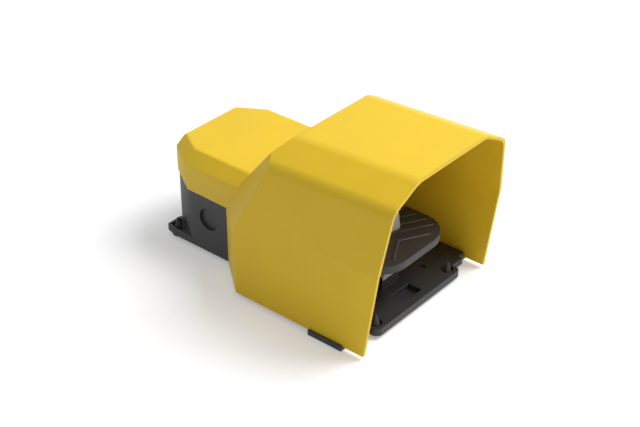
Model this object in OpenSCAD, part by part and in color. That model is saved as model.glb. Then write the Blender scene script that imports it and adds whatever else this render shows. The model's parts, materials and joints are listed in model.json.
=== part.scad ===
// Guarded industrial foot switch: hood, base box, pedal, toe lever, contacts.
// Origin: floor level, middle of the fixing hole pattern. Foot enters from -Y.

/* [Guard cover] */
// Height of the hood top above the floor
hood_top = 151; // [130:1:170]
// Half width of the hood at its lower edge
hood_half_low = 82.5; // [75:0.5:90]
// Half width of the hood at the kink of the side
hood_half_mid = 81; // [74:0.5:88]
// Height of the kink of the side
hood_mid_z = 83.5; // [70:0.5:95]
// Half width of the hood at the upper side corner of the mouth
hood_half_high = 72; // [65:0.5:80]
// Height of the upper side corner of the mouth
hood_high_z = 135.8; // [120:0.2:145]
// Fall of the top and shoulders from the mouth to the rear, in degrees
hood_fall = 2.6; // [0:0.1:4]
// Half width of the flat top
hood_half_top = 43; // [35:0.5:55]
// Wall thickness of the cover
cover_wall = 3; // [2:0.1:4]
// Height of the lower edge of the hood
hood_low_z = 3.5; // [2:0.5:8]
// Rounding of the hood section corners
hood_round = 14; // [6:0.5:18]
// Front plane at the lower edge
hood_front_low = -111.8; // [-120:0.2:-100]
// Front plane at the top
hood_front_top = -130; // [-135:0.5:-120]
// Rear end of the hood side walls
hood_rear_y = 20.5; // [10:0.5:30]
// Rear end of the flat top
hood_top_rear_y = -16.7; // [-30:0.1:0]
// Height of the lid top
lid_top = 94.1; // [90:0.1:105]
// Height where the lid chamfers start
lid_side_z = 83.5; // [75:0.5:90]
// Height of the lid lower edge
lid_low_z = 59.5; // [50:0.5:65]
// Half width of the lid
lid_half = 56; // [50:0.5:62]
// Half width of the flat lid top
lid_half_top = 45.2; // [38:0.2:52]
// Rear face of the lid
lid_rear_y = 127; // [120:0.5:130]

/* [Base housing] */
// Underside of the base above the floor
base_low = 3.5; // [2:0.5:6]
// Top face of the floor plate
plate_top = 10; // [8:0.5:14]
// Half width of the front tongue
tongue_half = 55.5; // [48:0.5:62]
// Front edge of the tongue
tongue_front = -106; // [-112:0.5:-98]
// Half width of the switch box
box_half = 54; // [48:0.5:58]
// Outer face of the box rear wall
box_rear_y = 125; // [118:0.5:128]
// Outer face of the box front wall
box_front_y = 27; // [22:0.5:34]
// Top of the box rim
box_top = 62.5; // [58:0.5:70]
// Wall thickness of the box
box_wall = 3; // [2:0.1:4]
// Start of the angled rear corner on the box side
corner_y = 98; // [90:0.5:105]
// Half width of the box rear wall
rear_half = 38.4; // [30:0.2:46]
// Radius of the entry knock-outs
knock_r = 10.25; // [8:0.05:13]
// Height of the knock-out centres
knock_z = 36.8; // [30:0.2:45]
// Distance of the side knock-outs along the box
knock_y = 76.7; // [65:0.1:90]
// Half spacing of the fixing holes across
fix_x = 38; // [30:0.5:45]
// Half spacing of the fixing holes lengthwise
fix_y = 80; // [70:0.5:90]
// Radius of the fixing holes
fix_r = 2.75; // [2:0.05:4]
// Half width of the pocket in front of the stop block
window_half = 11; // [8:0.5:14]
// Floor of the pocket in front of the stop block
pocket_low = 5.2; // [4.6:0.1:8]

/* [Pedal] */
// Half width of the pedal
pedal_half = 45.5; // [38:0.5:50]
// Front edge of the pedal
pedal_front = -103; // [-108:0.5:-95]
// Rear edge of the tread plate
pedal_rear = -12; // [-30:0.5:-5]
// Top face of the pedal
pedal_top = 56; // [48:0.5:64]
// Height of the pedal skirt
pedal_deep = 7; // [5:0.5:10]
// Front corner radius of the pedal
pedal_round = 27; // [10:0.5:32]
// Hinge axis, distance along Y
hinge_y = 8; // [0:0.5:16]
// Hinge axis, height
hinge_z = 29.5; // [24:0.5:36]
// Radius of the hinge pin
pin_r = 4; // [3:0.1:6]
// Radial clearance of pins that turn
run_gap = 0.06; // [0.01:0.01:0.1]
// Height of the tread ribs
rib_high = 1; // [0.5:0.1:2]

/* [Toe lever] */
// Lever axis, distance along Y
lever_y = -75; // [-80:0.5:-68]
// Lever axis, height
lever_z = 44.5; // [40:0.5:47]
// Half width of the toe plate
toe_half = 18; // [12:0.5:24]
// Half width of the catch leg
leg_half = 10; // [7:0.5:13]
// Top of the toe plate
toe_top = 92; // [75:1:100]
// Radius of the lever pin
lever_pin_r = 2; // [1.5:0.1:3]

/* [Switch] */
// Plunger axis, distance along Y
plunger_y = 42; // [38:0.5:46]
// Radius of the plunger shaft
plunger_r = 3.5; // [2.5:0.1:5]
// Top of the shelf that carries the contact block
shelf_top = 43; // [41:0.5:46]
// Half width of the contact block
block_half = 15; // [12:0.5:18]
// Top of the contact block
block_top = 84; // [78:0.5:88]
// Half spacing of the contact block screws
block_screw_x = 28; // [27:0.5:32]

/* [Hidden] */
$fn = 48;

black = [0.12, 0.12, 0.13];
yellow = [0.93, 0.77, 0.16];
steel = [0.72, 0.73, 0.75];
grey = [0.78, 0.78, 0.78];
brass = [0.8, 0.65, 0.3];
seat_gap = 0.3;
lip_in = hood_half_low + seat_gap;
lip_out = lip_in + 2;
wing_half = hood_half_mid - cover_wall - 0.5;
pedal_low = pedal_top - pedal_deep;
tail_end = plunger_y + 5;
shelf_low = shelf_top - 6;
foot_front = [48, -97.3];
foot_rear = [46.6, 121.6];
foot_head = 5.2;
screw_spots = [[box_half - box_wall - 5, 62], [rear_half - 5.4, corner_y + 16]];
ledge_z = lid_low_z - seat_gap;
cover_screw_r = 1.9;
spring_x = 28;
spring_y = -30;
spring_r = 6.3;
ear_out = block_screw_x + 3.5;
wire_r = 0.8;
// lever seats on the pedal underside
ear_x = toe_half + 1.4;
// slot length that clears the toe plate when it swings back
slot_long = 26;

// geometry helpers
function unit(v) = v / norm(v);
function bend(a, b, c, r, n) =
  let (u = unit(a - b), w = unit(c - b), g = acos(u * w),
    p = b + u * r / tan(g / 2), q = b + w * r / tan(g / 2),
    o = b + unit(u + w) * r / sin(g / 2),
    s = atan2(p[1] - o[1], p[0] - o[0]),
    e = atan2(q[1] - o[1], q[0] - o[0]),
    d = ((e - s + 540) % 360) - 180)
  [for (i = [0:n]) o + r * [cos(s + d * i / n), sin(s + d * i / n)]];
function rounded(p, r, n = 5) =
  [for (i = [0:len(p) - 1]) each (r[i] < 0.01 ? [p[i]] :
    bend(p[(i + len(p) - 1) % len(p)], p[i], p[(i + 1) % len(p)], r[i], n))];
function left_of(a, b) = let (d = unit(b - a)) [-d[1], d[0]];
function inset(p, t) =
  [for (i = [0:len(p) - 1])
    let (m = left_of(p[(i + len(p) - 1) % len(p)], p[i]),
      k = left_of(p[i], p[(i + 1) % len(p)]))
    p[i] + t * (m + k) / (1 + m * k)];
function twin(h) = concat(h, [for (i = [len(h) - 1:-1:0]) [-h[i][0], h[i][1]]]);
function twice(h) = concat(h, [for (i = [len(h) - 1:-1:0]) h[i]]);

module both() { children(); mirror([1, 0, 0]) children(); }
module along_x(a, b) translate([a, 0, 0]) rotate([90, 0, 90]) linear_extrude(b - a) children();
module along_y(a, b) translate([0, b, 0]) rotate([90, 0, 0]) linear_extrude(b - a) children();
module rod_x(a, b, y, z, r) translate([a, y, z]) rotate([0, 90, 0]) cylinder(h = b - a, r = r);
// everything beyond the plane n * p = d
module beyond(n, d) translate(n * d) rotate([0, acos(n[2]), atan2(n[1], n[0])])
  translate([-300, -300, 0]) cube([600, 600, 300]);

// ---- guard cover ----
side_slope = (hood_half_mid - hood_half_high) / (hood_high_z - hood_mid_z);
sky_z = hood_top + 20;
function side_x(z) = hood_half_mid - side_slope * (z - hood_mid_z);
wall_line = [[hood_half_low, hood_low_z], [hood_half_mid, hood_mid_z], [side_x(sky_z), sky_z]];
roof_line = [[side_x(-30), -30], [hood_half_high, hood_high_z * cos(hood_fall)],
  [hood_half_top, hood_top * cos(hood_fall)]];
function wall_pts(t) = inset(twin([[hood_half_low, hood_low_z - 2 * t], wall_line[1], wall_line[2]]), t);
function roof_pts(t) = inset(twin(roof_line), t);

// planes as [normal, distance]; crease() rounds the edge between two of them with radius r
function face(n, p) = [unit(n), unit(n) * p];
function crease(a, b, r, k) =
  let (m = a[0] * b[0], g = acos(m), u = a[1] - r, w = b[1] - r,
    c = ((u - m * w) * a[0] + (w - m * u) * b[0]) / (1 - m * m))
  [for (i = [1:k]) let (t = i / (k + 1), n = (sin((1 - t) * g) * a[0] + sin(t * g) * b[0]) / sin(g))
    [n, n * c + r]];
roof = face([0, tan(hood_fall), 1], [0, hood_front_top, hood_top]);
band = face([34.5, 28, 0], [hood_half_low, hood_rear_y, 0]);
lean = face([1.04, 1, 0.66], [55, 39, 83]);
slope = face([0, 1, 0.87], [0, hood_top_rear_y, hood_top]);
hood_mid_cuts = concat([slope], crease(roof, slope, 11, 3));

module hood_form(t, front) {
  difference() {
    intersection() {
      along_y(front, 120) polygon(rounded(wall_pts(t), twice([0, 30, 0])));
      translate([0, hood_front_top, 0]) rotate([-hood_fall, 0, 0])
        along_y(front - hood_front_top - 10, 260)
          polygon(rounded(roof_pts(t), twice([0, hood_round - t * 0.8, hood_round + 4 - t]), 7));
    }
    both() {
      beyond(band[0], band[1] - t);
      beyond(lean[0], lean[1] - t);
    }
    for (p = hood_mid_cuts) beyond(p[0], p[1] - t);
  }
}
module hood_front_cut() along_x(-100, 100) polygon([[-200, -50], [hood_front_low + 5, -50],
  [hood_front_low, hood_low_z], [-123.2, hood_mid_z], [-129, hood_high_z - 1],
  [hood_front_top, hood_top], [hood_front_top, 200], [-200, 200]]);

lid_drop = lid_top - lid_side_z;
lid_edge = [lid_half - rear_half + 0.4, lid_rear_y - corner_y];
side_n = unit([lid_drop, 0, lid_half - lid_half_top]);
back_n = unit([0, lid_drop, 4]);
edge_n = unit([lid_edge[1], lid_edge[0], 30.1]);
lid_cuts = [[side_n, side_n * [lid_half, 0, lid_side_z]],
  [edge_n, edge_n * [lid_half, corner_y, lid_side_z]]];
lid_back = [back_n, back_n * [0, lid_rear_y, lid_side_z]];
lid_roof = [[0, 0, 1], lid_top];
lid_side_cuts = concat(lid_cuts, crease(lid_cuts[0], lid_roof, 8, 2), crease(lid_cuts[1], lid_roof, 6, 1));
module lid_form(t, low) {
  difference() {
    translate([0, 0, low]) linear_extrude(lid_top - t - low)
      polygon(inset(twin([[lid_half, 0], [lid_half, corner_y], [rear_half - 0.4, lid_rear_y]]), t));
    both() for (p = lid_side_cuts) beyond(p[0], p[1] - t);
    for (p = concat([lid_back], crease(lid_back, lid_roof, 6, 1))) beyond(p[0], p[1] - t);
  }
}
part_y = box_front_y + cover_wall;
flange_z = box_top + 1.5;
rim_half = box_half - 1.4;
skin_half = rim_half + 0.4;

module cover_shell() {
  difference() {
    union() {
      difference() {
        hood_form(0, -140);
        hood_front_cut();
      }
      intersection() {
        lid_form(0, lid_low_z);
        translate([-80, box_front_y, 0]) cube([160, 200, 150]);
      }
    }
    // hood space, passing both sides of the box, and the part of it above the box
    difference() {
      hood_form(cover_wall, -150);
      difference() {
        translate([-lid_half, box_front_y, lid_low_z]) cube([2 * lid_half, 200, 200]);
        lid_room();
      }
    }
    // box below the lid
    translate([-box_half - seat_gap, box_front_y - 2, -1])
      cube([2 * (box_half + seat_gap), 120, lid_low_z + 1]);
    // lid space above the flange
    intersection() {
      lid_form(cover_wall, flange_z + 2);
      lid_room();
    }
    // rim pocket
    translate([0, 0, lid_low_z - 1]) linear_extrude(flange_z - lid_low_z + 1)
      polygon(box_line(-0.4 + 1.4, box_front_y - 3));
    // opening of the flange
    translate([0, 0, flange_z - 1]) linear_extrude(4)
      polygon(box_line(box_wall + 0.2, part_y));
  }
}
module lid_room() translate([-skin_half, part_y, flange_z + 2]) cube([2 * skin_half, 200, 200]);
module cover_posts() {
  both() for (s = screw_spots) difference() {
    translate([s[0], s[1], box_top + 0.3]) cylinder(h = lid_side_z + 2 - box_top, r = 4.5);
    translate([s[0], s[1], box_top - 1]) cylinder(h = 14, r = cover_screw_r + 0.02);
  }
}
module guard_cover() color(yellow) {
  difference() {
    union() {
      cover_shell();
      intersection() {
        union() {
          cover_posts();
          both() for (s = screw_spots) translate([s[0] > 40 ? s[0] : s[0] - 0.8, s[1] - 0.8, flange_z])
            cube([s[0] > 40 ? 9 : 1.6, s[1] > 100 ? 12 : 1.6, lid_side_z + 12 - flange_z]);
          both() for (s = screw_spots) translate([s[0], s[1], flange_z + 2])
            cylinder(h = 40, r = 2.6);
        }
        lid_form(1, box_top);
      }
    }
    both() for (s = screw_spots)
      translate([s[0], s[1], box_top - 1]) cylinder(h = 14, r = cover_screw_r + 0.02);
  }
}

// ---- base housing ----
function box_line(t, front) = inset(twin([[box_half, front - t], [box_half, corner_y],
  [rear_half, box_rear_y]]), t);
tongue_round = [for (a = [270:15:345]) [tongue_half - 5 + 5 * cos(a), tongue_front + 5 + 5 * sin(a)]];
base_half = [each tongue_round, [tongue_half, tongue_front + 5], [tongue_half, -97.5],
  [70, -97.5], [70, -93.5], [wing_half, -93.5], [wing_half, 15], [box_half, 46],
  [box_half, 119], [51.5, 129.5], [50, 130], [35, 130], [35, box_rear_y]];
module floor_pockets() {
  // hollows of the ribbed underside
  for (y = [-76, -48, -20]) both() for (x = [2, 50]) translate([x == 2 ? 14 : x, y, base_low - 1])
    cube([x == 2 ? 12 : 24, 24, plate_top - base_low - 1.8]);
  for (y = [-48, -20]) translate([-11, y, base_low - 1]) cube([22, 24, plate_top - base_low - 1.8]);
  both() translate([30, -60, base_low - 1]) cube([16, 36, plate_top - base_low - 1.8]);
}
module base_plate() difference() {
  translate([0, 0, base_low]) linear_extrude(plate_top - base_low) polygon(twin(base_half));
  floor_pockets();
  translate([-window_half, -98, pocket_low]) cube([2 * window_half, 13, 20]);
  both() {
    translate([foot_front[0], foot_front[1], base_low - 1]) cylinder(h = 2.5, r = foot_head + 0.3);
    translate([foot_front[0], foot_front[1], plate_top - 2.6]) cylinder(h = 5, r = 5.2);
    translate([foot_front[0], foot_front[1], 0]) cylinder(h = 20, r = 2.6);
    translate([foot_rear[0], foot_rear[1], base_low - 1]) cylinder(h = 2.5, r = foot_head + 0.3);
    translate([foot_rear[0], foot_rear[1], 0]) cylinder(h = 20, r = 2.6);
    // sunk floor of the rear lug
    translate([0, 0, plate_top - 3.4]) linear_extrude(5)
      polygon([[51.6, 105], [51.6, 118.4], [49.6, 127.4], [38, 127.4], [38, 126.5]]);
    for (s = screw_spots) translate([s[0], s[1], base_low - 1]) cylinder(h = 4, r = 4);
  }
}
module box_shell() {
  difference() {
    union() {
      translate([0, 0, base_low]) linear_extrude(ledge_z - base_low)
        polygon(box_line(0, box_front_y));
      translate([0, 0, base_low]) linear_extrude(box_top - base_low)
        polygon(box_line(1.4, box_front_y));
    }
    translate([0, 0, plate_top]) linear_extrude(80)
      polygon(box_line(box_wall + 0.5, part_y));
    // sunk discs of the entry knock-outs
    both() translate([-box_half, knock_y, knock_z]) rotate([0, 90, 0]) knock_recess();
    translate([0, box_rear_y, knock_z]) rotate([90, 0, 0]) knock_recess();
  }
}
module knock_recess() translate([0, 0, -1]) cylinder(h = 3.6, r = knock_r);
module alcove() difference() {
  union() {
    translate([-21, box_front_y, base_low]) cube([42, 26, shelf_top - base_low]);
    translate([-ear_out - 1, box_front_y, shelf_low]) cube([2 * ear_out + 2, 26, shelf_top - shelf_low]);
  }
  translate([-18, box_front_y - 1, plate_top]) cube([36, 24, shelf_low - plate_top]);
}
module hinge_towers() both() along_x(46.5, 53.5) difference() {
  polygon(concat([[-8, plate_top - 1], [-8, plate_top + 4]],
    [for (a = [160:-20:20]) [hinge_y + 9 * cos(a), hinge_z + 9 * sin(a)]],
    [[24, plate_top + 4], [24, plate_top - 1]]));
}
module side_lips() both() {
  translate([70, -92, 0.3]) cube([lip_out - 70, 34, 2.9]);
  translate([70, -92, 0.3]) cube([wing_half - 70, 34, plate_top - 1]);
  translate([lip_in, -92, 0.3]) cube([lip_out - lip_in, 34, 4.9]);
}
module base_housing() color(black) difference() {
  union() {
    base_plate();
    box_shell();
    alcove();
    hinge_towers();
    side_lips();
    // stop block for the toe lever
    along_x(-window_half, window_half) polygon([[-75, plate_top - 1], [-75, 17.5], [-70, 17.5],
      [-60, plate_top], [-60, plate_top - 1]]);
    // spring pegs
    both() translate([spring_x, spring_y, plate_top - 3]) cylinder(h = 8, r = 4.8);
    // screw and fixing posts inside the box
    both() for (s = screw_spots) translate([s[0], s[1], base_low + 3])
      cylinder(h = box_top - 0.5 - base_low - 3, r = 4.5);
    both() translate([46, 61.2, base_low + 3]) cube([6, 1.6, box_top - 4 - base_low - 3]);
    both() translate([fix_x, fix_y, base_low]) cylinder(h = 10, r = 6);
  }
  // alcove mouth through the front wall
  translate([-18, box_front_y - 1, plate_top]) cube([36, 20, shelf_low - plate_top]);
  translate([0, plunger_y, shelf_low - 1]) cylinder(h = 10, r = 7);
  both() rod_x(40, 60, hinge_y, hinge_z, pin_r + 0.02);
  for (k = [-1, 1]) both() translate([fix_x, k * fix_y, -1]) cylinder(h = 30, r = fix_r);
  both() for (s = screw_spots) {
    translate([s[0], s[1], base_low - 1]) cylinder(h = 70, r = 2.1);
    translate([s[0], s[1], base_low - 1]) cylinder(h = 4.2, r = 4);
  }
  both() translate([block_screw_x, plunger_y, shelf_top - 5]) cylinder(h = 8, r = 1.25);
}
module cover_gasket() color(black) difference() {
  translate([0, 0, box_top]) linear_extrude(1.5) polygon(box_line(1.4, box_front_y));
  translate([0, 0, box_top - 1]) linear_extrude(5) polygon(box_line(box_wall + 0.5, part_y));
}
module cover_screws() color(steel) both() for (s = screw_spots) translate([s[0], s[1], base_low + 0.2])
  difference() {
    union() {
      cylinder(h = 3, r = 3.7);
      cylinder(h = box_top + 11 - base_low, r = cover_screw_r);
    }
    for (a = [0, 90]) rotate([0, 0, a]) translate([-2, -0.5, -1]) cube([4, 1, 2.4]);
  }

// ---- pedal ----
pedal_line = rounded(twin([[pedal_half, pedal_front], [pedal_half, pedal_rear]]),
  [pedal_round, 4, 4, pedal_round], 10);
rib_at = [-81, -67.5, -56.4, -45.3, -34, -23];
rib_end = [24, 37, 39, 40, 40, 36];
module tread_ribs() for (i = [0:5]) let (a = rib_at[i], e = rib_end[i], k = 0.56)
  translate([0, 0, pedal_top - 0.5]) linear_extrude(rib_high + 0.5)
    polygon([[0, a + 1.3], [e, a + 1.3 - k * e], [e, a - 1.3 - k * e], [0, a - 1.3],
      [-e, a - 1.3 - k * e], [-e, a + 1.3 - k * e]]);
module pedal_cheek() along_x(37, 42) polygon(concat([[-62, pedal_low + 3], [-62, pedal_low - 1]],
  [for (a = [-120:20:60]) [hinge_y + 8 * cos(a), hinge_z + 8 * sin(a)]],
  [[pedal_rear - 2, pedal_top - 4], [pedal_rear - 6, pedal_top - 2]]));
module pedal() color(black) difference() {
  union() {
    difference() {
      translate([0, 0, pedal_low]) linear_extrude(pedal_deep) polygon(pedal_line);
      translate([0, 0, pedal_low - 1]) linear_extrude(pedal_deep - 2) polygon(
        rounded(inset(twin([[pedal_half, pedal_front], [pedal_half, pedal_rear]]), 2.6),
          [pedal_round - 2.6, 1.6, 1.6, pedal_round - 2.6], 8));
    }
    tread_ribs();
    // collar round the slot and ribs below the plate
    translate([-toe_half - 4, lever_y - 9, pedal_low]) cube([2 * toe_half + 8, slot_long + 6, pedal_deep]);
    for (x = [-24, 0, 24]) let (a = x == 0 ? lever_y + slot_long - 4 : pedal_front + 4)
      translate([x - 1, a, pedal_low]) cube([2, pedal_rear - 1 - a, 5]);
    for (y = [-50, spring_y]) translate([-pedal_half + 1, y - 1, pedal_low])
      cube([2 * pedal_half - 2, 2, 5]);
    both() pedal_cheek();
    both() translate([spring_x, spring_y, pedal_low]) cylinder(h = 5, r = 9);
    both() translate([spring_x, spring_y, pedal_low - 4]) cylinder(h = 8, r = 4.8);
    // ears for the lever pin
    both() along_x(ear_x, ear_x + 4) polygon(concat([[lever_y - 6, pedal_low + 2]],
      [for (a = [200:20:340]) [lever_y + 4.5 * cos(a), lever_z + 4.5 * sin(a)]],
      [[lever_y + 8, pedal_low + 2]]));
    // hub and tail
    rod_x(-42, 42, hinge_y, hinge_z, 7);
    along_x(-12, 12) polygon([[hinge_y, hinge_z + 3], [hinge_y, hinge_z - 6],
      [tail_end, hinge_z - 3.5], [tail_end, hinge_z + 0.5], [tail_end - 1, hinge_z + 1.5]]);
  }
  // room for the lever below the tread, and the slot that its plate passes through
  translate([-toe_half - 1, lever_y - 6, pedal_low - 20]) cube([2 * toe_half + 2, slot_long, 24]);
  translate([-toe_half - 1, lever_y + 4, pedal_low]) cube([2 * toe_half + 2, slot_long - 10, 20]);
  rod_x(-60, 60, hinge_y, hinge_z, pin_r + run_gap);
  rod_x(-30, 30, lever_y, lever_z, lever_pin_r + 0.02);
}
module pedal_pin() color(steel) difference() {
  rod_x(-57, 57, hinge_y, hinge_z, pin_r);
  for (s = [-1, 1]) translate([s * 55 - 0.6, 0, 0]) difference() {
    rod_x(0, 1.2, hinge_y, hinge_z, pin_r + 1);
    rod_x(-1, 3, hinge_y, hinge_z, pin_r - 0.8);
  }
}
module pin_rings() color(steel) both() difference() {
  rod_x(54.5, 55.5, hinge_y, hinge_z, 6.6);
  rod_x(54, 56, hinge_y, hinge_z, pin_r - 0.75);
  translate([50, hinge_y - 2, hinge_z]) cube([10, 4, 10]);
}

// coil along +Z with closed end turns; n turns, m facets a turn
function ring_at(r, w, a, z, k) = [for (i = [0:k - 1]) let (q = 360 * i / k)
  [(r + w * cos(q)) * cos(a), (r + w * cos(q)) * sin(a), z + w * sin(q)]];
module coil(r, w, h, n, m = 16, k = 6) {
  s = n * m;
  polyhedron(points = [for (i = [0:s]) each ring_at(r, w, 360 * i / m, h * i / s, k)],
    faces = concat([[for (j = [k - 1:-1:0]) j]], [[for (j = [0:k - 1]) s * k + j]],
      [for (i = [0:s - 1]) for (j = [0:k - 1]) let (a = i * k + j, b = i * k + (j + 1) % k)
        each [[a, b, b + k], [a, b + k, a + k]]]));
}
module pedal_springs() color(steel) both() translate([spring_x, spring_y, plate_top + wire_r]) {
  spring_high = pedal_low - plate_top - 2 * wire_r;
  rotate_extrude() translate([spring_r, 0]) circle(r = wire_r, $fn = 16);
  translate([0, 0, spring_high]) rotate_extrude() translate([spring_r, 0]) circle(r = wire_r, $fn = 16);
  coil(spring_r, wire_r * 0.98, spring_high, 7);
}

// ---- toe lever ----
module toe_lever() color(grey) difference() {
  union() {
    along_x(-leg_half, leg_half) polygon([[-74.5, 18.5], [-72, 22.5], [-70.5, lever_z],
      [-72, lever_z + 5], [-78, lever_z + 3], [-79.5, 41], [-76.3, 25.7]]);
    rod_x(-toe_half - 1.2, toe_half + 1.2, lever_y, lever_z, 4.4);
    // foot of the toe plate
    along_x(-leg_half, leg_half) polygon([[-78, lever_z + 1], [-77, lever_z + 4], [-70.1, 52.2],
      [-69.8, 54.5], [-67, 54.5], [-67.6, 51], [-70.6, lever_z + 1]]);
    along_x(-toe_half, toe_half) polygon([[-70.1, 54], [-69.5, 57], [-64.2, toe_top - 1.2], [-63, toe_top],
      [-62.3, toe_top], [-61.3, toe_top - 1.2], [-66.6, 57], [-67.2, 54]]);
  }
  rod_x(-30, 30, lever_y, lever_z, lever_pin_r + run_gap);
  // slot for the torsion spring
  translate([-3.4, lever_y - 8, lever_z - 5.2]) cube([6.8, 16, 10.4]);
}
module lever_pin() color(steel) rod_x(-ear_x - 4.4, ear_x + 4.4, lever_y, lever_z, lever_pin_r);
module lever_spring() color(steel) {
  // close-wound turns round the pin
  translate([-2.7, lever_y, lever_z]) rotate([0, 90, 0]) rotate_extrude()
    for (i = [0:4]) translate([3.1, 0.6 + i * 1.05]) circle(r = 0.6, $fn = 16);
}

// ---- switch ----
module plunger() color(grey) translate([0, plunger_y, 0]) {
  translate([0, 0, hinge_z + 1.8]) rotate_extrude() polygon(concat([[0, 0]],
    [for (a = [10:10:90]) [5 * sin(a), 1.6 - 1.6 * cos(a)]], [[5, 3], [0, 3]]));
  cylinder_from(hinge_z + 3, 49, plunger_r);
}
module cylinder_from(a, b, r) translate([0, 0, a]) cylinder(h = b - a, r = r);
module plunger_seal() color(black) translate([0, plunger_y, 0]) rotate_extrude() polygon([
  [plunger_r + run_gap, shelf_top - 1.6], [plunger_r + 1.2, shelf_low + 2.4],
  [5, shelf_low + 2], [6.98, shelf_low + 2], [6.98, shelf_top - 0.2],
  [plunger_r + run_gap, shelf_top - 0.2]]);
nc_z = 53;
no_z = 70.2;
module contact_block() color([0.45, 0.45, 0.47]) difference() {
  union() {
    translate([-block_half, plunger_y - 10, shelf_top]) cube([2 * block_half, 20, block_top - shelf_top]);
    both() {
      translate([block_half - 1, plunger_y - 4, shelf_top]) cube([ear_out - block_half + 1, 8, 3]);
      translate([block_half - 1, plunger_y - 10, shelf_top + 3]) cube([11, 9.5, nc_z - 1 - shelf_top - 3]);
      translate([block_half - 1, plunger_y + 0.5, shelf_top + 12])
        cube([11, 9.5, no_z + 0.6 - shelf_top - 12]);
      translate([block_half + 3, plunger_y - 9.9, nc_z - 1]) cube([7, 0.9, 3]);
    }
  }
  translate([-11, plunger_y - 5.5, shelf_top + 3]) cube([22, 11, block_top - shelf_top - 6]);
  translate([-9, plunger_y - 11, shelf_top + 16]) cube([18, 8, 12]);
  cylinder_at(shelf_top - 1, shelf_top + 8, plunger_r + 0.3);
  both() {
    strip_cut(nc_z - 1.1, nc_z + 0.1, -1);
    strip_cut(no_z + 0.6, no_z + 1.8, 1);
    translate([block_screw_x, plunger_y, shelf_top - 1]) cylinder(h = 5, r = 1.7);
    translate([20, plunger_y - 5.2, nc_z - 8]) cylinder(h = 10, r = 1.3);
    translate([20, plunger_y + 5.2, no_z - 8]) cylinder(h = 10, r = 1.3);
  }
}
module cylinder_at(a, b, r) translate([0, plunger_y, a]) cylinder(h = b - a, r = r);
module strip_cut(a, b, k) translate([0, 0, a]) linear_extrude(b - a) polygon([
  [5.5, plunger_y - k * -3.2], [5.5, plunger_y - k * 3.2], [24.2, plunger_y - k * 3.2],
  [24.2, plunger_y + k * 9.4], [16, plunger_y + k * 9.4], [16, plunger_y + k * 3.2]]);
module strip(a, b, k) translate([0, 0, a]) linear_extrude(b - a) difference() {
  polygon([[6, plunger_y + k * 3], [6, plunger_y - k * 3], [23.8, plunger_y - k * 3],
    [23.8, plunger_y + k * 9.2], [16.2, plunger_y + k * 9.2], [16.2, plunger_y + k * 3]]);
  translate([20, plunger_y + k * 5.2]) circle(r = 1.7);
}
module fixed_contacts() color(brass) both() {
  strip(nc_z - 1, nc_z, -1);
  translate([8, plunger_y, nc_z]) cylinder(h = 0.8, r = 1.7);
  strip(no_z + 0.7, no_z + 1.7, 1);
  translate([8, plunger_y, no_z - 0.1]) cylinder(h = 0.9, r = 1.7);
}
module contact_bridges() color(brass) for (b = [[nc_z + 1.6, nc_z + 0.8], [no_z - 6.15, no_z - 5.15]]) {
  translate([-10, plunger_y - 2, b[0]]) cube([20, 4, 1]);
  for (x = [-8, 8]) translate([x, plunger_y, b[1]]) cylinder(h = 0.8, r = 1.7);
}
module contact_carrier() color([0.9, 0.9, 0.86]) difference() {
  translate([-3.4, plunger_y - 4, shelf_top + 4]) cube([6.8, 8, 25]);
  translate([-5, plunger_y - 2.1, nc_z + 1.6]) cube([10, 4.2, 4]);
  translate([-5, plunger_y - 2.1, no_z - 10]) cube([10, 4.2, 4.85]);
  cylinder_at(shelf_top, 49, plunger_r + 0.02);
}
module wavy(r, h, n) let (p = h / (n + 0.06)) rotate_extrude() for (i = [0:n - 1])
  translate([r, p * (i + 0.53)]) circle(r = p * 0.53, $fn = 16);
module bridge_springs() color(steel) translate([0, plunger_y, 0]) {
  translate([0, 0, nc_z + 2.62]) wavy(1.4, 2.96, 4);
  translate([0, 0, no_z - 9.98]) wavy(1.4, 3.81, 5);
}
module carrier_spring() color(steel) translate([0, plunger_y, shelf_top + 29]) {
  spring_long = block_top - 3 - shelf_top - 29;
  translate([0, 0, 0.4]) rotate_extrude() translate([2.4, 0]) circle(r = 0.4, $fn = 16);
  translate([0, 0, spring_long - 0.4]) rotate_extrude() translate([2.4, 0]) circle(r = 0.4, $fn = 16);
  translate([0, 0, 0.4]) coil(2.4, 0.39, spring_long - 0.8, 4, 14);
}
module slot_screw(r, h, head_r, head_h) difference() {
  union() {
    translate([0, 0, -h]) cylinder(h = h + 0.1, r = r);
    cylinder(h = head_h, r = head_r);
  }
  translate([-head_r - 1, -0.4, head_h - 0.8]) cube([2 * head_r + 2, 0.8, 2]);
}
module terminal_screws() color(steel) both() {
  translate([20, plunger_y - 5.2, nc_z + 1]) slot_screw(1.25, 7, 2.5, 1.8);
  translate([20, plunger_y + 5.2, no_z + 2.7]) slot_screw(1.25, 7, 2.5, 1.8);
}
module terminal_washers() color(steel) both() for (p = [[nc_z, -5.2], [no_z + 1.7, 5.2]])
  translate([20, plunger_y + p[1], p[0]]) difference() {
    translate([-3, -3, 0]) cube([6, 6, 1]);
    translate([0, 0, -1]) cylinder(h = 3, r = 1.4);
  }
module block_screws() color(steel) both() translate([block_screw_x, plunger_y, shelf_top + 3])
  slot_screw(1.2, 7, 2.4, 1.6);

module one_foot(tail) rotate_extrude() polygon([[0, 0], [foot_head - 0.7, 0], [foot_head, 0.7],
  [foot_head, base_low + 1.4],
  [2.5, base_low + 1.4], [2.5, plate_top - 2.5 - tail], [3.5, plate_top - 2.4 - tail],
  [3.2, plate_top - 0.2 - tail], [1, plate_top + 7.4 - tail / 2], [0, plate_top + 7.6 - tail / 2]]);
module rubber_feet() color([0.1, 0.1, 0.1]) both() {
  translate([foot_front[0], foot_front[1], 0]) one_foot(0);
  translate([foot_rear[0], foot_rear[1], 0]) one_foot(0.8);
}

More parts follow.
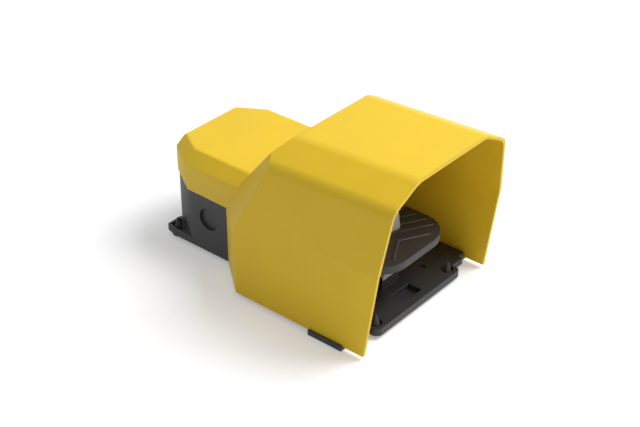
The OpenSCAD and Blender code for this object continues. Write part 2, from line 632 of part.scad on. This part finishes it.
base_housing();
guard_cover();
cover_gasket();
cover_screws();
pedal();
pedal_pin();
pin_rings();
pedal_springs();
toe_lever();
lever_pin();
lever_spring();
plunger();
plunger_seal();
contact_block();
contact_carrier();
contact_bridges();
bridge_springs();
carrier_spring();
fixed_contacts();
terminal_screws();
terminal_washers();
block_screws();
rubber_feet();
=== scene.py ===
import json
from math import radians

import bmesh
import bpy
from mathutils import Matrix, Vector


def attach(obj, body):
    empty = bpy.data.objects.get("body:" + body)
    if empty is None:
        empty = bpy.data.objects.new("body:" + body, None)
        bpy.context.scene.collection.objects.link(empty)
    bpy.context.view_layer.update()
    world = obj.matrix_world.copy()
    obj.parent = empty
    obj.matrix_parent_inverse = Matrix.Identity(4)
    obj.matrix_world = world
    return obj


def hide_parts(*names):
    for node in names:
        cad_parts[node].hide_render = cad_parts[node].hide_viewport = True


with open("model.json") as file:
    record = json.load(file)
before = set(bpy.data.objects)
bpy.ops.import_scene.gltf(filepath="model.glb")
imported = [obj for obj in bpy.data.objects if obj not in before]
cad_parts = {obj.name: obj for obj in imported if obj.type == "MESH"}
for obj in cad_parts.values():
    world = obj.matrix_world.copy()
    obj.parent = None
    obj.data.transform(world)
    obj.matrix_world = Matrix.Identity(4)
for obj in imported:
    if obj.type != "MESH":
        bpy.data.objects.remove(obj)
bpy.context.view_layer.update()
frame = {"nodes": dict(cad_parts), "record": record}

cad = frame["nodes"]
mm = 0.001

# camera, lights and floor
view = {
    "place": (-0.7487, -0.6272, 0.6723),
    "target": (-0.0020, -0.0017, 0.0498),
    "lens": 78.56,
}
studio = {
    "floorSize": 12.0,
    "keyPlace": (0.9, -0.8, 1.7),
    "keySize": (1.3, 1.3),
    "keyPower": 40.0,
    "skyLevel": 0.36,
    "floorGlow": 0.3,
}


def aimAt(thing, target):
    gaze = Vector(target) - thing.location
    thing.rotation_euler = gaze.to_track_quat("-Z", "Y").to_euler()


def addCamera():
    lensData = bpy.data.cameras.new("camera")
    lensData.lens = view["lens"]
    lensData.sensor_width = 36.0
    lensData.sensor_fit = "HORIZONTAL"
    lensData.clip_start = 0.05
    camera = bpy.data.objects.new("camera", lensData)
    bpy.context.scene.collection.objects.link(camera)
    camera.location = view["place"]
    aimAt(camera, view["target"])
    bpy.context.scene.camera = camera


def addSoftLight(name, place, size, power, target=(0, 0, 0.05)):
    lamp = bpy.data.lights.new(name, "AREA")
    lamp.shape = "RECTANGLE"
    lamp.size, lamp.size_y = size
    lamp.energy = power
    holder = bpy.data.objects.new(name, lamp)
    bpy.context.scene.collection.objects.link(holder)
    holder.location = place
    aimAt(holder, target)


def whiteForSight(nodes, links):  # 1 for camera, glossy and transmission rays
    path = nodes.new("ShaderNodeLightPath")
    reach = path.outputs["Is Camera Ray"]
    for ray in ("Is Glossy Ray", "Is Transmission Ray"):
        either = nodes.new("ShaderNodeMath")
        either.operation = "MAXIMUM"
        links.new(reach, either.inputs[0])
        links.new(path.outputs[ray], either.inputs[1])
        reach = either.outputs[0]
    return reach


def addSky():
    world = bpy.data.worlds.new("studio air")
    bpy.context.scene.world = world
    world.use_nodes = True
    nodes, links = world.node_tree.nodes, world.node_tree.links
    nodes.clear()
    output = nodes.new("ShaderNodeOutputWorld")
    seen = nodes.new("ShaderNodeBackground")
    seen.inputs["Color"].default_value = (1, 1, 1, 1)
    seen.inputs["Strength"].default_value = 1.0
    felt = nodes.new("ShaderNodeBackground")
    felt.inputs["Color"].default_value = (0.97, 0.98, 1.0, 1)
    felt.inputs["Strength"].default_value = studio["skyLevel"]
    mix = nodes.new("ShaderNodeMixShader")
    links.new(whiteForSight(nodes, links), mix.inputs["Fac"])
    links.new(felt.outputs[0], mix.inputs[1])
    links.new(seen.outputs[0], mix.inputs[2])
    links.new(mix.outputs[0], output.inputs["Surface"])


def addFloor():
    bpy.ops.mesh.primitive_plane_add(size=studio["floorSize"])
    floor = bpy.context.object
    floor.name = "floor"
    paper = bpy.data.materials.new("floor paper")
    paper.use_nodes = True
    nodes, links = paper.node_tree.nodes, paper.node_tree.links
    nodes.clear()
    output = nodes.new("ShaderNodeOutputMaterial")
    lit = nodes.new("ShaderNodeBsdfDiffuse")
    lit.inputs["Color"].default_value = (0.9, 0.9, 0.91, 1)
    glow = nodes.new("ShaderNodeEmission")
    glow.inputs["Color"].default_value = (1, 1, 1, 1)
    both = nodes.new("ShaderNodeAddShader")
    lift = nodes.new("ShaderNodeMath")
    lift.operation = "MULTIPLY"
    lift.inputs[1].default_value = studio["floorGlow"]
    links.new(whiteForSight(nodes, links), lift.inputs[0])
    links.new(lift.outputs[0], glow.inputs["Strength"])
    links.new(lit.outputs[0], both.inputs[0])
    links.new(glow.outputs[0], both.inputs[1])
    links.new(both.outputs[0], output.inputs["Surface"])
    floor.data.materials.append(paper)


bpy.context.scene.view_settings.view_transform = "Standard"
addCamera()
addSky()
addSoftLight("key light", studio["keyPlace"], studio["keySize"], studio["keyPower"])
addFloor()
print("studio ready")

# finishes, one for each material slot of the part
finishes = {
    "housing_black": {"color": (0.026, 0.026, 0.028), "rough": 0.5,
        "grain": 0.2, "scale": 900, "gloss": 0.5},
    "cover_yellow": {"color": (0.87, 0.585, 0.025), "rough": 0.5,
        "grain": 0.05, "scale": 1500, "gloss": 0.3},
    "seal_rubber": {"color": (0.022, 0.022, 0.023), "rough": 0.75, "grain": 0.1, "scale": 900},
    "screw_steel": {"color": (0.62, 0.63, 0.65), "rough": 0.32,
        "grain": 0.05, "scale": 1200, "metal": 1.0},
    "pin_steel": {"color": (0.6, 0.6, 0.62), "rough": 0.24,
        "grain": 0.04, "scale": 2500, "metal": 1.0},
    "spring_steel": {"color": (0.5, 0.51, 0.53), "rough": 0.28,
        "grain": 0.04, "scale": 2500, "metal": 1.0},
    "pedal_black": {"color": (0.03, 0.03, 0.032), "rough": 0.5,
        "grain": 0.25, "scale": 900, "gloss": 0.5},
    "lever_grey": {"color": (0.62, 0.62, 0.61), "rough": 0.45, "grain": 0.08, "scale": 1500},
    "plunger_white": {"color": (0.82, 0.81, 0.78), "rough": 0.4, "grain": 0.05, "scale": 1500},
    "block_grey": {"color": (0.22, 0.22, 0.235), "rough": 0.5, "grain": 0.1, "scale": 1500},
    "contact_brass": {"color": (0.78, 0.6, 0.26), "rough": 0.28,
        "grain": 0.04, "scale": 2200, "metal": 1.0},
    "foot_rubber": {"color": (0.05, 0.05, 0.052), "rough": 0.7, "grain": 0.1, "scale": 1100},
}


surface = {
    "cloudScale": 28.0,
    "tintSpread": 0.05,
    "roughSpread": 0.06,
    "grainDepth": 0.0002,
}


def makeFinish(name, look):
    material = bpy.data.materials.new(name)
    material.use_nodes = True
    nodes, links = material.node_tree.nodes, material.node_tree.links
    shader = nodes["Principled BSDF"]
    shader.inputs["Metallic"].default_value = look.get("metal", 0.0)
    shader.inputs["Specular IOR Level"].default_value = look.get("gloss", 0.4)
    place = nodes.new("ShaderNodeTexCoord")
    cloud = nodes.new("ShaderNodeTexNoise")  # slow cloudiness of the moulding
    cloud.inputs["Scale"].default_value = surface["cloudScale"]
    cloud.inputs["Detail"].default_value = 4.0
    links.new(place.outputs["Object"], cloud.inputs["Vector"])
    tint = nodes.new("ShaderNodeMix")
    tint.data_type = "RGBA"
    base = look["color"]
    spread = surface["tintSpread"]
    tint.inputs["A"].default_value = (*[c * (1 - spread) for c in base], 1)
    tint.inputs["B"].default_value = (*[min(1, c * (1 + spread)) for c in base], 1)
    links.new(cloud.outputs["Fac"], tint.inputs["Factor"])
    links.new(tint.outputs["Result"], shader.inputs["Base Color"])
    rub = nodes.new("ShaderNodeMapRange")
    rub.inputs["To Min"].default_value = look["rough"] - surface["roughSpread"]
    rub.inputs["To Max"].default_value = look["rough"] + surface["roughSpread"]
    links.new(cloud.outputs["Fac"], rub.inputs["Value"])
    links.new(rub.outputs["Result"], shader.inputs["Roughness"])
    grain = nodes.new("ShaderNodeTexNoise")
    grain.inputs["Scale"].default_value = look["scale"]
    grain.inputs["Detail"].default_value = 2.0
    links.new(place.outputs["Object"], grain.inputs["Vector"])
    bump = nodes.new("ShaderNodeBump")
    bump.inputs["Strength"].default_value = look["grain"]
    bump.inputs["Distance"].default_value = surface["grainDepth"]
    links.new(grain.outputs["Fac"], bump.inputs["Height"])
    links.new(bump.outputs["Normal"], shader.inputs["Normal"])
    return material


materials = {name: makeFinish(name, look) for name, look in finishes.items()}
slotOf = {part["node"]: part["material_slot"] for part in frame["record"]["subparts"]}
for name, node in cad.items():
    node.data.materials.clear()
    node.data.materials.append(materials[slotOf[name]])
print("finishes on", len(cad), "nodes")


# shaping helpers; edge widths in mm
def pickOnly(*things):
    bpy.ops.object.select_all(action="DESELECT")
    for thing in things:
        thing.select_set(True)
    bpy.context.view_layer.objects.active = things[-1]


def useModifier(thing, kind, **values):
    pickOnly(thing)
    change = thing.modifiers.new(kind.lower(), kind)
    for key, value in values.items():
        setattr(change, key, value)
    bpy.ops.object.modifier_apply(modifier=change.name)


def softenEdges(piece, width, sharp, shortest, steps=2):
    # small rounding on sharp edges, leaving out the short ones
    mesh = bmesh.new()
    mesh.from_mesh(piece.data)
    mesh.normal_update()
    layer = mesh.edges.layers.float.new("bevel_weight_edge")
    for edge in mesh.edges:
        keen = len(edge.link_faces) == 2 and edge.calc_face_angle(0) > radians(sharp)
        edge[layer] = 1.0 if keen and edge.calc_length() > shortest * width * mm else 0.0
    mesh.to_mesh(piece.data)
    mesh.free()
    useModifier(piece, "BEVEL", width=width * mm, segments=steps, limit_method="WEIGHT",
                offset_type="OFFSET", use_clamp_overlap=False)


def finishPiece(piece, body, slotName, *nodes):
    pickOnly(piece)
    bpy.ops.object.shade_smooth_by_angle(angle=radians(32))
    useModifier(piece, "WEIGHTED_NORMAL", keep_sharp=True)
    piece.data.materials.clear()
    piece.data.materials.append(materials[slotName])
    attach(piece, body)
    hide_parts(*nodes)


# rigid pieces that keep their solid's form and get moulded edges
mend = {
    "mergeWithin": 0.000004,
    "flatWithin": 0.6,
    "sharpFrom": 35,
    "shortestEdge": 2.2,
}
soft = {
    "cover": {"node": "guard_cover", "body": "base", "width": 0.5},
    "housing": {"node": "base_housing", "body": "base", "width": 0.45},
    "tread": {"node": "pedal", "body": "pedal_arm", "width": 0.5},
    "catch": {"node": "toe_lever", "body": "lever", "width": 0.35},
}


def softCopy(name, node, body, width):
    piece = bpy.data.objects.new(name, cad[node].data.copy())
    bpy.context.scene.collection.objects.link(piece)
    pickOnly(piece)
    bpy.ops.object.mode_set(mode="EDIT")
    bpy.ops.mesh.select_all(action="SELECT")
    bpy.ops.mesh.remove_doubles(threshold=mend["mergeWithin"])
    bpy.ops.mesh.select_all(action="SELECT")
    bpy.ops.mesh.dissolve_limited(angle_limit=radians(mend["flatWithin"]))
    bpy.ops.object.mode_set(mode="OBJECT")
    softenEdges(piece, width, mend["sharpFrom"], mend["shortestEdge"])
    finishPiece(piece, body, slotOf[node], node)
    return piece


for name, look in soft.items():
    softCopy(name, look["node"], look["body"], look["width"])
print("moulded edges made")
